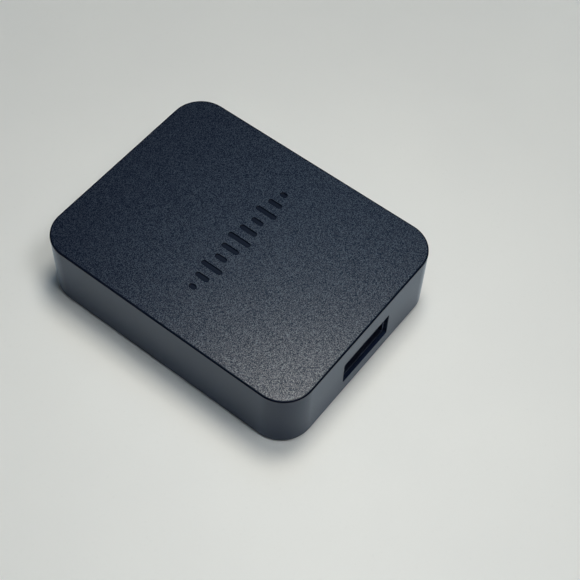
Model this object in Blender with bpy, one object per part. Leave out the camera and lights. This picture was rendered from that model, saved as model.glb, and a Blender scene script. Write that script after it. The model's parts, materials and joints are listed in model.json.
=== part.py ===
"""Bluetooth audio receiver.

A palm-sized moulded box. One upper shell carries the roof, the side walls and the
screw bosses, and a flat plate on rubber feet closes it from below. Between the two
lies one circuit board. A USB-A socket looks out of the front wall. The audio jack,
the micro-USB power inlet, the pairing button and the status light look out of the
back wall.

Frame: the origin is under the middle of the box, on the surface it stands on, with
+X to the right, +Y to the back and +Z up. Lengths are in metres, written in
millimetres through mm().
"""

import math

import bmesh
import bpy
from mathutils import Matrix, Vector


def mm(*values):
    """Millimetres to metres: a number from one value, a Vector from several."""
    if len(values) == 1:
        return values[0] * 0.001
    return Vector(values) * 0.001


# ---------------------------------------------------------------- driving dimensions

# The box
WIDTH = mm(45.0)
DEPTH = mm(58.0)
HEIGHT = mm(14.5)
CORNER_RADIUS = mm(6.2)
WALL = mm(1.8)
STAND_OFF = mm(0.4)            # the feet lift the box this far
TOP_EDGE = mm(0.4)             # radius of the edge round the roof
BOTTOM_EDGE = mm(0.5)          # radius of the edge round the underside
GAP = mm(0.3)                  # between pieces that rest on or in each other
SEAT = mm(0.1)                 # solder and glue lines
WELD = mm(0.2)                 # how deep united shapes run into each other
PAST = mm(1.0)                 # how far a cutter runs past the face it opens

FRONT = -DEPTH / 2
BACK = DEPTH / 2
CEILING = HEIGHT - WALL
INNER_WIDTH = WIDTH - 2 * WALL
INNER_DEPTH = DEPTH - 2 * WALL
INNER_RADIUS = CORNER_RADIUS - WALL

# The plate, its feet and its label
PLATE_THICKNESS = mm(1.5)
PLATE_TOP = STAND_OFF + PLATE_THICKNESS
FOOT_PLACES = [(x, y) for y in (mm(-19.5), mm(19.5)) for x in (mm(-11.5), mm(11.5))]
FOOT_RADIUS = mm(4.0)
FOOT_RECESS = mm(0.5)
LABEL_SIZE = mm(22.0, 13.0)
LABEL_RADIUS = mm(1.0)
LABEL_RECESS = mm(0.35)
LABEL_THICKNESS = mm(0.15)

# The board
BOARD_SIZE = mm(39.4, 53.0)
BOARD_BOTTOM = mm(2.65)
BOARD_THICKNESS = mm(1.0)
BOARD_TOP = BOARD_BOTTOM + BOARD_THICKNESS
SEATED = BOARD_TOP + SEAT      # underside of what is soldered to the board
LEAD_END = mm(2.2)             # how far leads reach down through the board

# The screws
CASE_SCREW_PLACES = [(x, y) for y in (mm(-23.75), mm(23.75)) for x in (mm(-17.25), mm(17.25))]
CASE_SCREW_RADIUS = mm(1.0)
CASE_SCREW_HEAD = mm(1.9)
CASE_SCREW_HEAD_HEIGHT = mm(0.7)
CASE_SCREW_SINK = mm(0.9)      # depth of the pocket for the head
CASE_SCREW_LENGTH = mm(7.0)
CASE_BOSS_RADIUS = mm(2.9)
BOARD_SCREW_PLACES = [(mm(-16.9), 0.0), (mm(16.9), 0.0)]
BOARD_SCREW_RADIUS = mm(0.9)
BOARD_SCREW_HEAD = mm(1.8)
BOARD_SCREW_HEAD_HEIGHT = mm(0.8)
BOARD_SCREW_LENGTH = mm(5.5)
BOARD_BOSS_RADIUS = mm(2.3)
RIB_THICKNESS = mm(1.2)         # webs that tie the bosses to the walls

# The USB-A socket in the front wall
USB_A_HEIGHT = mm(6.75)        # height of its middle above the table
USB_A_OPENING = mm(13.3, 6.0)
USB_A_SHELL = mm(13.1, 5.7)
USB_A_LENGTH = mm(14.0)
USB_A_SET_BACK = mm(0.7)
USB_A_SHEET = mm(0.3)
USB_A_MOUTH = FRONT + USB_A_SET_BACK
USB_A_REAR = USB_A_MOUTH + USB_A_LENGTH
USB_A_CONTACTS = [mm(-3.5), mm(-1.0), mm(1.0), mm(3.5)]
USB_A_LEAD = USB_A_REAR - mm(0.32)
USB_A_LEGS = [(side * mm(6.4), y) for side in (-1, 1) for y in (mm(-24.0), mm(-18.2))]

# The audio jack, power inlet, button and light in the back wall
JACK_X, JACK_Z = mm(10.5), mm(6.3)
JACK_NOSE_RADIUS = mm(2.5)
JACK_BORE_RADIUS = mm(1.85)
JACK_BODY = mm(6.0, 11.5, 5.0)
JACK_REAR = BACK - mm(2.4)     # where the body ends and its round nose begins
JACK_CONTACTS = {"sleeve": (-1, mm(24.0)), "ring": (1, mm(18.6)), "tip": (-1, mm(17.6))}
INLET_X, INLET_Z = mm(1.8), mm(5.05)
INLET_OPENING = mm(8.1, 3.1)
INLET_SHELL = mm(7.5, 2.5)
INLET_LENGTH = mm(5.0)
INLET_MOUTH = BACK - mm(0.6)
INLET_SHEET = mm(0.25)
BUTTON_X, BUTTON_Z = mm(-7.2), mm(6.6)
BUTTON_SIZE = mm(6.0, 2.8)
BUTTON_FLANGE = mm(8.4, 4.6)
BUTTON_PROUD = mm(0.4)
BUTTON_TRAVEL = mm(0.3)
SWITCH_FRONT = mm(24.9)
SWITCH_SIZE = mm(6.2, 3.7, 5.6)
PLUNGER_RADIUS = mm(1.1)
PLUNGER_BORE = mm(1.45)
LIGHT_X, LIGHT_Z = mm(-12.9), mm(5.1)
LIGHT_RADIUS = mm(0.8)

# The mark in the roof: a row of round-ended bars, like a sound wave
MARK_LENGTHS = [mm(v) for v in (1.6, 3.0, 4.6, 2.6, 3.8, 5.0, 3.8, 2.6, 4.6, 3.0, 1.6)]
MARK_PITCH = mm(2.6)
MARK_BAR = mm(1.1)
MARK_DEPTH = mm(0.25)

# The radio module
MODULE_PLACE = mm(-13.0, -11.8)
MODULE_SIZE = mm(12.0, 16.0, 0.8)
MODULE_TOP = SEATED + MODULE_SIZE.z
CAN_SIZE = mm(10.6, 10.4, 1.7)
CAN_SHEET = mm(0.2)

# Finishes: colour, roughness, metallic
CHARCOAL = ((0.035, 0.040, 0.052), 0.55, 0.0)
DARK_PLASTIC = ((0.020, 0.021, 0.024), 0.50, 0.0)
RUBBER = ((0.015, 0.015, 0.016), 0.85, 0.0)
ZINC_STEEL = ((0.45, 0.45, 0.46), 0.35, 1.0)
TIN_PLATE = ((0.55, 0.55, 0.54), 0.30, 1.0)
BLACK_NICKEL = ((0.10, 0.10, 0.11), 0.40, 1.0)
GOLD_PLATE = ((0.83, 0.62, 0.28), 0.25, 1.0)
BOARD_GREEN = ((0.02, 0.11, 0.05), 0.45, 0.0)
BOARD_BLUE = ((0.02, 0.05, 0.13), 0.45, 0.0)
CHIP_BLACK = ((0.018, 0.018, 0.020), 0.60, 0.0)
CERAMIC_BUFF = ((0.42, 0.30, 0.18), 0.55, 0.0)
CERAMIC_WHITE = ((0.72, 0.72, 0.68), 0.50, 0.0)
ALUMINIUM = ((0.62, 0.63, 0.64), 0.35, 1.0)
FERRITE = ((0.05, 0.05, 0.055), 0.75, 0.0)
LABEL_SILVER = ((0.50, 0.51, 0.52), 0.45, 0.0)
MILKY_PLASTIC = ((0.80, 0.82, 0.84), 0.25, 0.0)


# ------------------------------------------------------------------- outlines, as (u, v)


def rounded_rectangle(width, height, radius, steps=4, centre=(0.0, 0.0)):
    """Anticlockwise outline of a rectangle with round corners."""
    points = []
    corners = ((1, 1), (-1, 1), (-1, -1), (1, -1))
    for quarter, (side_u, side_v) in enumerate(corners):
        middle_u = centre[0] + side_u * (width / 2 - radius)
        middle_v = centre[1] + side_v * (height / 2 - radius)
        for step in range(steps + 1):
            angle = math.radians(90) * (quarter + step / steps)
            points.append((middle_u + radius * math.cos(angle), middle_v + radius * math.sin(angle)))
    return points


def circle(radius, centre=(0.0, 0.0), steps=24):
    """Outline of a circle."""
    angles = [math.tau * step / steps for step in range(steps)]
    return [(centre[0] + radius * math.cos(a), centre[1] + radius * math.sin(a)) for a in angles]


def ribbon(path, thickness):
    """Outline of a strip of even thickness bent along a path, mitred at its bends."""
    points = [Vector(p) for p in path]
    left, right = [], []
    for number, point in enumerate(points):
        before = (point - points[number - 1]).normalized() if number else None
        after = (points[number + 1] - point).normalized() if number + 1 < len(points) else None
        ahead = (before or after) + (after or before)
        across = Vector((-ahead.y, ahead.x)).normalized()
        run = after or before
        half = thickness / 2 / abs(across.dot(Vector((-run.y, run.x))))
        left.append(point + across * half)
        right.append(point - across * half)
    return [tuple(p) for p in left + right[::-1]]


# ---------------------------------------------------------------- shapes, added to a bmesh


def axis_point(axis, u, v, w):
    """The point at height w along the axis, and at (u, v) in the plane across it."""
    return {"X": (w, u, v), "Y": (u, w, v), "Z": (u, v, w)}[axis]


def add_prism(mesh, outline, start, end, axis="Z"):
    """Sweep an outline along an axis from start to end, and close both ends."""
    corners = [mesh.verts.new(axis_point(axis, u, v, start)) for u, v in outline]
    bmesh.ops.remove_doubles(mesh, verts=corners, dist=mm(0.0001))
    corners = [corner for corner in corners if corner.is_valid]
    face = mesh.faces.new(corners)
    swept = bmesh.ops.extrude_face_region(mesh, geom=[face])["geom"]
    moved = [item for item in swept if isinstance(item, bmesh.types.BMVert)]
    bmesh.ops.translate(mesh, verts=moved, vec=axis_point(axis, 0.0, 0.0, end - start))


def add_box(mesh, low, high):
    """A box between its lowest and highest corners."""
    low, high = Vector(low), Vector(high)
    place = Matrix.Translation((low + high) / 2) @ Matrix.Diagonal((*(high - low), 1.0))
    bmesh.ops.create_cube(mesh, size=1.0, matrix=place)


def add_rod(mesh, radius, start, end, centre, axis="Z", steps=24):
    """A round rod along an axis, with its middle line through (u, v)."""
    add_prism(mesh, circle(radius, centre, steps), start, end, axis)


def add_turned(mesh, profile, steps=16):
    """Turn a profile of (radius, height) points, which starts and ends on the Z axis."""
    points = [mesh.verts.new((radius, 0.0, height)) for radius, height in profile]
    edges = [mesh.edges.new(pair) for pair in zip(points, points[1:])]
    bmesh.ops.spin(
        mesh, geom=points + edges, cent=(0, 0, 0), axis=(0, 0, 1), angle=math.tau, steps=steps, use_merge=True
    )
    bmesh.ops.remove_doubles(mesh, verts=mesh.verts, dist=mm(0.001))


def round_edges(mesh, width, steps, chosen):
    """Round the edges for which chosen(start, end) is true."""
    edges = [edge for edge in mesh.edges if chosen(edge.verts[0].co, edge.verts[1].co)]
    bmesh.ops.bevel(mesh, geom=edges, offset=width, segments=steps, affect="EDGES", profile=0.5)


def at_level(axis, level):
    """A test for round_edges: both ends of the edge lie at one level of an axis."""
    index = "XYZ".index(axis)
    return lambda start, end: all(abs(point[index] - level) < mm(0.01) for point in (start, end))


def every_edge(start, end):
    """A test for round_edges that takes every edge."""
    return True


# ------------------------------------------------------------------------ scene objects


def clear_scene():
    """Remove whatever the file holds."""
    for item in list(bpy.data.objects):
        bpy.data.objects.remove(item, do_unlink=True)


def new_material(name, finish):
    """A plain material from a finish's colour, roughness and metallic value."""
    colour, roughness, metallic = finish
    material = bpy.data.materials.new(name)
    material.use_nodes = True
    shader = material.node_tree.nodes["Principled BSDF"]
    shader.inputs["Base Color"].default_value = (*colour, 1.0)
    shader.inputs["Roughness"].default_value = roughness
    shader.inputs["Metallic"].default_value = metallic
    material.diffuse_color = (*colour, 1.0)
    return material


def new_mesh(name, shape, smooth=False):
    """A mesh from a bmesh, with its faces turned outward."""
    bmesh.ops.recalc_face_normals(shape, faces=shape.faces)
    mesh = bpy.data.meshes.new(name)
    shape.to_mesh(mesh)
    shape.free()
    if smooth:
        mesh.shade_smooth()
        mesh.set_sharp_from_angle(angle=math.radians(35))
    return mesh


def place_mesh(name, mesh, location=(0.0, 0.0, 0.0), turn=0.0):
    """Put a mesh in the scene as a named object, under the receiver's empty."""
    item = bpy.data.objects.new(name, mesh)
    item.location = location
    item.rotation_euler.z = turn
    bpy.context.scene.collection.objects.link(item)
    item.parent = bpy.data.objects["receiver"]
    return item


def new_part(name, shape, finish, location=(0.0, 0.0, 0.0), smooth=False):
    """A sub-part: its mesh in its own material, at its place."""
    mesh = new_mesh(name, shape, smooth)
    mesh.materials.append(new_material(name, finish))
    return place_mesh(name, mesh, location)


def combine(part, operation, name, shape):
    """Cut a shape from a part, or unite it with the part, by a Boolean modifier."""
    tool = place_mesh(f"{part.name} {name}", new_mesh(name, shape), part.location)
    tool.hide_render = True
    tool.display_type = "WIRE"
    modifier = part.modifiers.new(name, "BOOLEAN")
    modifier.operation = operation
    modifier.object = tool
    modifier.solver = "EXACT"


def cut(part, name, shape):
    """Cut a shape out of a part."""
    combine(part, "DIFFERENCE", name, shape)


def unite(part, name, shape):
    """Add a shape to a part."""
    combine(part, "UNION", name, shape)


# ------------------------------------------------------------------------- the housing


def ribs_to_wall(axis, places):
    """Thin webs under the roof, from each boss along an axis to the nearest wall."""
    ribs = bmesh.new()
    along = "XY".index(axis)
    wall = (INNER_WIDTH, INNER_DEPTH)[along] / 2 + WELD
    for place in places:
        low, high = list(place), list(place)
        low[1 - along] -= RIB_THICKNESS / 2
        high[1 - along] += RIB_THICKNESS / 2
        start = place[along] + math.copysign(mm(1.7), place[along])
        low[along], high[along] = sorted((start, math.copysign(wall, start)))
        add_box(ribs, (*low, BOARD_TOP + mm(1.0)), (*high, CEILING + WELD))
    return ribs


def make_top_shell():
    """Roof and walls in one moulding, with bosses under the roof and the ports' openings."""
    body = bmesh.new()
    outline = rounded_rectangle(WIDTH, DEPTH, CORNER_RADIUS, steps=12)
    add_prism(body, outline, STAND_OFF, HEIGHT)
    round_edges(body, TOP_EDGE, 3, at_level("Z", HEIGHT))
    round_edges(body, BOTTOM_EDGE, 3, at_level("Z", STAND_OFF))
    shell = new_part("top_shell", body, CHARCOAL, smooth=True)

    hollow = bmesh.new()
    inside = rounded_rectangle(INNER_WIDTH, INNER_DEPTH, INNER_RADIUS, steps=8)
    add_prism(hollow, inside, STAND_OFF - PAST, CEILING)
    cut(shell, "hollow", hollow)

    bosses = bmesh.new()
    for place in CASE_SCREW_PLACES:
        add_rod(bosses, CASE_BOSS_RADIUS, PLATE_TOP + GAP, CEILING + WELD, place)
    for x, y in BOARD_SCREW_PLACES:
        add_rod(bosses, BOARD_BOSS_RADIUS, BOARD_TOP + GAP, CEILING + WELD, (x, y))
    unite(shell, "bosses", bosses)

    unite(shell, "ribs to the side walls", ribs_to_wall("X", CASE_SCREW_PLACES + BOARD_SCREW_PLACES))
    unite(shell, "ribs to the end walls", ribs_to_wall("Y", CASE_SCREW_PLACES))

    pilots = bmesh.new()
    for place in CASE_SCREW_PLACES:
        add_rod(pilots, CASE_SCREW_RADIUS + GAP, PLATE_TOP - PAST, mm(10.5), place, steps=16)
    for place in BOARD_SCREW_PLACES:
        add_rod(pilots, BOARD_SCREW_RADIUS + GAP, BOARD_TOP - PAST, mm(10.5), place, steps=16)
    cut(shell, "pilot holes", pilots)

    ports = bmesh.new()
    opening = rounded_rectangle(*USB_A_OPENING, mm(0.35), centre=(0.0, USB_A_HEIGHT))
    add_prism(ports, opening, FRONT - PAST, FRONT + WALL + mm(0.5), "Y")
    wall = (BACK - WALL - mm(0.5), BACK + PAST)
    add_rod(ports, JACK_NOSE_RADIUS + mm(0.2), *wall, (JACK_X, JACK_Z), "Y", steps=32)
    inlet = rounded_rectangle(*INLET_OPENING, mm(0.6), centre=(INLET_X, INLET_Z))
    add_prism(ports, inlet, *wall, "Y")
    width, height = BUTTON_SIZE.x + 2 * GAP, BUTTON_SIZE.y + 2 * GAP
    button = rounded_rectangle(width, height, height / 2, steps=8, centre=(BUTTON_X, BUTTON_Z))
    add_prism(ports, button, *wall, "Y")
    add_rod(ports, LIGHT_RADIUS + mm(0.2), *wall, (LIGHT_X, LIGHT_Z), "Y", steps=20)
    cut(shell, "ports", ports)

    mark = bmesh.new()
    first = -MARK_PITCH * (len(MARK_LENGTHS) - 1) / 2
    for number, length in enumerate(MARK_LENGTHS):
        centre = (first + number * MARK_PITCH, 0.0)
        bar = rounded_rectangle(MARK_BAR, length, MARK_BAR / 2, steps=4, centre=centre)
        add_prism(mark, bar, HEIGHT - MARK_DEPTH, HEIGHT + PAST)
    cut(shell, "mark", mark)


def make_bottom_plate():
    """The plate that closes the shell, with pockets for feet, screws and label."""
    body = bmesh.new()
    outline = rounded_rectangle(INNER_WIDTH - 2 * GAP, INNER_DEPTH - 2 * GAP, INNER_RADIUS - GAP, steps=8)
    add_prism(body, outline, STAND_OFF, PLATE_TOP)
    plate = new_part("bottom_plate", body, DARK_PLASTIC, smooth=True)

    pads = bmesh.new()
    for x in (mm(-14.5), mm(14.5)):
        for y in (mm(-13.0), mm(13.0)):
            add_rod(pads, mm(1.5), PLATE_TOP - WELD, BOARD_BOTTOM - GAP, (x, y), steps=16)
    unite(plate, "board pads", pads)

    holes = bmesh.new()
    for place in CASE_SCREW_PLACES:
        add_rod(holes, CASE_SCREW_RADIUS + GAP, STAND_OFF, PLATE_TOP + PAST, place, steps=16)
    cut(plate, "screw holes", holes)

    pockets = bmesh.new()
    for place in CASE_SCREW_PLACES:
        sink = STAND_OFF + CASE_SCREW_SINK
        add_rod(pockets, CASE_SCREW_HEAD + mm(0.35), STAND_OFF - PAST, sink, place, steps=24)
    for place in FOOT_PLACES:
        add_rod(pockets, FOOT_RADIUS + GAP, STAND_OFF - PAST, STAND_OFF + FOOT_RECESS, place, steps=32)
    label = rounded_rectangle(LABEL_SIZE.x + 2 * GAP, LABEL_SIZE.y + 2 * GAP, LABEL_RADIUS + GAP)
    add_prism(pockets, label, STAND_OFF - PAST, STAND_OFF + LABEL_RECESS)
    for place in BOARD_SCREW_PLACES:
        depth = BOARD_BOTTOM - BOARD_SCREW_HEAD_HEIGHT - mm(0.5)
        add_rod(pockets, BOARD_SCREW_HEAD + mm(0.5), depth, PLATE_TOP + PAST, place, steps=20)
    cut(plate, "pockets", pockets)


def make_feet():
    """Four rubber feet, set in the plate's round recesses."""
    height = STAND_OFF + FOOT_RECESS - mm(0.2)
    profile = [
        (0.0, 0.0),
        (FOOT_RADIUS - mm(0.4), 0.0),
        (FOOT_RADIUS - mm(0.1), mm(0.1)),
        (FOOT_RADIUS, mm(0.35)),
        (FOOT_RADIUS, height),
        (0.0, height),
    ]
    shape = bmesh.new()
    add_turned(shape, profile, steps=32)
    mesh = new_mesh("foot", shape, smooth=True)
    mesh.materials.append(new_material("foot", RUBBER))
    for number, (x, y) in enumerate(FOOT_PLACES, start=1):
        place_mesh(f"foot_{number}", mesh, (x, y, 0.0))


def make_rating_label():
    """A blank label in the plate's shallow recess."""
    shape = bmesh.new()
    add_prism(shape, rounded_rectangle(*LABEL_SIZE, LABEL_RADIUS), 0.0, LABEL_THICKNESS)
    level = STAND_OFF + LABEL_RECESS - SEAT - LABEL_THICKNESS
    new_part("rating_label", shape, LABEL_SILVER, (0.0, 0.0, level))


def make_screws(name, places, head_level, radius, head_radius, head_height, length):
    """Pan-head screws that point up, with a cross recess in the underside of the head."""
    profile = [
        (0.0, 0.0),
        (head_radius * 0.75, 0.0),
        (head_radius, head_height * 0.4),
        (head_radius, head_height),
        (radius, head_height),
        (radius, head_height + length - radius),
        (radius * 0.35, head_height + length),
        (0.0, head_height + length),
    ]
    for number, (x, y) in enumerate(places, start=1):
        shape = bmesh.new()
        add_turned(shape, profile)
        screw = new_part(f"{name}_{number}", shape, ZINC_STEEL, (x, y, head_level), smooth=True)
        cross = bmesh.new()
        arm, half = head_radius * 0.55, head_radius * 0.12
        depth = head_height * 0.55
        corners = [(half, half), (half, arm), (-half, arm), (-half, half), (-arm, half), (-arm, -half)]
        corners += [(-u, -v) for u, v in corners]
        add_prism(cross, corners, -PAST, depth)
        cut(screw, "cross recess", cross)


# --------------------------------------------------------------------------- the board


def make_main_board():
    """The circuit board, notched round the shell's corner bosses and slotted for leads."""
    shape = bmesh.new()
    add_prism(shape, rounded_rectangle(*BOARD_SIZE, mm(1.0)), BOARD_BOTTOM, BOARD_TOP)
    board = new_part("main_pcb", shape, BOARD_GREEN)

    cuts = bmesh.new()
    levels = (BOARD_BOTTOM - PAST, BOARD_TOP + PAST)
    notch_radius = CASE_BOSS_RADIUS + mm(0.4)
    notch_side = 4 * notch_radius
    for x, y in CASE_SCREW_PLACES:
        shift = notch_side / 2 - notch_radius
        centre = (x + math.copysign(shift, x), y + math.copysign(shift, y))
        add_prism(cuts, rounded_rectangle(notch_side, notch_side, notch_radius, 6, centre), *levels)
    for place in BOARD_SCREW_PLACES:
        add_rod(cuts, BOARD_SCREW_RADIUS + GAP, *levels, place, steps=16)
    slots = [(x, y, mm(0.9), mm(2.4)) for x, y in USB_A_LEGS]
    slots += [(x, USB_A_LEAD, mm(1.5), mm(0.8)) for x in USB_A_CONTACTS]
    slots += [(JACK_X + side * mm(3.3), y, mm(0.8), mm(2.2)) for side, y in JACK_CONTACTS.values()]
    slots += [(BUTTON_X + side * mm(2.5), mm(22.6), mm(1.2), mm(1.2)) for side in (-1, 1)]
    for x, y, width, depth in slots:
        add_box(cuts, (x - width / 2, y - depth / 2, levels[0]), (x + width / 2, y + depth / 2, levels[1]))
    cut(board, "notches and slots", cuts)


def make_usb_a_socket():
    """The socket in the front wall: sheet-metal can, insulator with its tongue, four contacts."""
    can = bmesh.new()
    centre = (0.0, USB_A_HEIGHT)
    add_prism(can, rounded_rectangle(*USB_A_SHELL, mm(0.5), 3, centre), USB_A_MOUTH, USB_A_REAR, "Y")
    socket = new_part("usb_a_shell", can, BLACK_NICKEL)
    space = bmesh.new()
    width, height = (side - 2 * USB_A_SHEET for side in USB_A_SHELL)
    inside = rounded_rectangle(width, height, mm(0.25), 2, centre)
    add_prism(space, inside, USB_A_MOUTH - PAST, USB_A_REAR + PAST, "Y")
    cut(socket, "space", space)
    floor = USB_A_HEIGHT - USB_A_SHELL.y / 2
    legs = bmesh.new()
    for x, y in USB_A_LEGS:
        half = USB_A_SHEET / 2
        add_box(legs, (x - half, y - mm(0.9), LEAD_END), (x + half, y + mm(0.9), floor + mm(1.0)))
    unite(socket, "legs", legs)
    way_out = bmesh.new()
    add_box(way_out, (mm(-5.2), USB_A_REAR - mm(2.9), floor - PAST), (mm(5.2), USB_A_REAR + PAST, floor + mm(0.5)))
    cut(socket, "way out for the leads", way_out)

    top = USB_A_HEIGHT + height / 2
    tongue_top, tongue_low = top - mm(0.75), top - mm(2.59)
    block_front, block_rear = USB_A_REAR - mm(2.7), USB_A_REAR - mm(0.7)
    shape = bmesh.new()
    add_box(
        shape,
        (-width / 2 + SEAT, block_front, USB_A_HEIGHT - height / 2 + SEAT),
        (width / 2 - SEAT, block_rear, top - SEAT),
    )
    insulator = new_part("usb_a_insulator", shape, CHIP_BLACK)
    tongue = bmesh.new()
    half_tongue = mm(11.1) / 2
    tongue_front = USB_A_MOUTH + mm(1.3)
    add_box(
        tongue, (-half_tongue, tongue_front, tongue_low), (half_tongue, block_front + WELD, tongue_top)
    )
    round_edges(tongue, mm(0.3), 2, at_level("Y", tongue_front))
    unite(insulator, "tongue", tongue)
    ways = bmesh.new()
    for x in USB_A_CONTACTS:
        low = (x - mm(0.75), block_front - PAST, tongue_low - mm(0.5))
        add_box(ways, low, (x + mm(0.75), block_rear + PAST, tongue_low + mm(0.05)))
    cut(insulator, "ways for the contacts", ways)

    level = tongue_low - mm(0.22)
    path = [
        (tongue_front + mm(0.6), level),
        (tongue_front + mm(1.6), level - mm(0.35)),
        (tongue_front + mm(3.0), level),
        (USB_A_LEAD, level),
        (USB_A_LEAD, LEAD_END),
    ]
    for number, x in enumerate(USB_A_CONTACTS, start=1):
        strip = bmesh.new()
        add_prism(strip, ribbon(path, mm(0.2)), x - mm(0.5), x + mm(0.5), "X")
        new_part(f"usb_a_contact_{number}", strip, GOLD_PLATE)


def make_audio_jack():
    """The 3.5 mm jack: a moulded body with a round nose in the wall, and three contacts."""
    shape = bmesh.new()
    low = (JACK_X - JACK_BODY.x / 2, JACK_REAR - JACK_BODY.y, JACK_Z - JACK_BODY.z / 2)
    high = (JACK_X + JACK_BODY.x / 2, JACK_REAR, JACK_Z + JACK_BODY.z / 2)
    add_box(shape, low, high)
    jack = new_part("audio_jack_body", shape, CHIP_BLACK)
    nose = bmesh.new()
    mouth = BACK - mm(0.3)
    add_rod(nose, JACK_NOSE_RADIUS, JACK_REAR - WELD, mouth, (JACK_X, JACK_Z), "Y", steps=32)
    unite(jack, "nose", nose)
    bore = bmesh.new()
    depth = JACK_REAR - JACK_BODY.y + mm(1.2)
    add_rod(bore, JACK_BORE_RADIUS, depth, BACK + PAST, (JACK_X, JACK_Z), "Y", steps=24)
    cut(jack, "bore", bore)
    ways = bmesh.new()
    for side, y in JACK_CONTACTS.values():
        ends = sorted((JACK_X + side * JACK_BORE_RADIUS * 0.8, JACK_X + side * (JACK_BODY.x / 2 + PAST)))
        add_box(ways, (ends[0], y - mm(1.1), JACK_Z - mm(0.45)), (ends[1], y + mm(1.1), JACK_Z + mm(0.45)))
    cut(jack, "ways for the contacts", ways)

    for name, (side, y) in JACK_CONTACTS.items():
        inner = JACK_X + side * (JACK_BORE_RADIUS - mm(0.15))
        outer = JACK_X + side * mm(3.3)
        strip = bmesh.new()
        path = [(inner, JACK_Z), (outer, JACK_Z), (outer, LEAD_END)]
        add_prism(strip, ribbon(path, mm(0.25)), y - mm(0.8), y + mm(0.8), "Y")
        new_part(f"audio_jack_{name}_contact", strip, GOLD_PLATE)


def inlet_outline(margin):
    """The micro-USB shell's outline, with its lower corners cut off, less a margin."""
    half, top = INLET_SHELL.x / 2 - margin, INLET_Z + INLET_SHELL.y / 2 - margin
    low, slant = INLET_Z - INLET_SHELL.y / 2 + margin, mm(1.0)
    points = [(half, top), (-half, top), (-half, low + slant), (-half + slant, low)]
    points += [(half - slant, low), (half, low + slant)]
    return [(INLET_X + u, v) for u, v in points]


def make_power_inlet():
    """The micro-USB inlet: sheet-metal can, insulator with its tongue, five contacts."""
    rear = INLET_MOUTH - INLET_LENGTH
    shape = bmesh.new()
    add_prism(shape, inlet_outline(0.0), rear, INLET_MOUTH, "Y")
    inlet = new_part("micro_usb_shell", shape, TIN_PLATE)
    space = bmesh.new()
    add_prism(space, inlet_outline(INLET_SHEET), rear - PAST, INLET_MOUTH + PAST, "Y")
    cut(inlet, "space", space)

    block = bmesh.new()
    block_front = rear + mm(1.5)
    add_prism(block, inlet_outline(INLET_SHEET + SEAT), rear + GAP, block_front, "Y")
    insulator = new_part("micro_usb_insulator", block, CHIP_BLACK)
    tongue_low, tongue_top = INLET_Z - mm(0.05), INLET_Z + mm(0.6)
    tongue = bmesh.new()
    half = mm(1.85)
    low = (INLET_X - half, block_front - WELD, tongue_low)
    add_box(tongue, low, (INLET_X + half, INLET_MOUTH - mm(0.6), tongue_top))
    unite(insulator, "tongue", tongue)
    way = bmesh.new()
    low = (INLET_X - mm(1.75), rear - PAST, tongue_low - mm(0.45))
    add_box(way, low, (INLET_X + mm(1.75), block_front + mm(0.2), tongue_low))
    cut(insulator, "way for the contacts", way)

    level, foot = tongue_low - mm(0.2), SEATED + mm(0.1)
    path = [
        (INLET_MOUTH - mm(1.0), level),
        (rear - mm(0.3), level),
        (rear - mm(0.3), foot),
        (rear - mm(1.1), foot),
    ]
    for number in range(5):
        x = INLET_X + mm(0.65) * (number - 2)
        strip = bmesh.new()
        add_prism(strip, ribbon(path, mm(0.12)), x - mm(0.15), x + mm(0.15), "X")
        new_part(f"micro_usb_contact_{number + 1}", strip, GOLD_PLATE)


def make_pair_button():
    """The pairing button's cap, which slides in the back wall, with the flange that keeps it in."""
    shape = bmesh.new()
    proud, wall_face = BUTTON_PROUD, -WALL - GAP
    flange_rear = wall_face - mm(0.75)
    cap = rounded_rectangle(*BUTTON_SIZE, BUTTON_SIZE.y / 2, steps=8)
    add_prism(shape, cap, wall_face - mm(0.4), proud, "Y")
    round_edges(shape, mm(0.25), 2, at_level("Y", proud))
    button = new_part("pair_button", shape, DARK_PLASTIC, (BUTTON_X, BACK, BUTTON_Z), smooth=True)
    flange = bmesh.new()
    add_prism(flange, rounded_rectangle(*BUTTON_FLANGE, mm(0.8), 2), flange_rear, wall_face, "Y")
    unite(button, "flange", flange)


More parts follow.
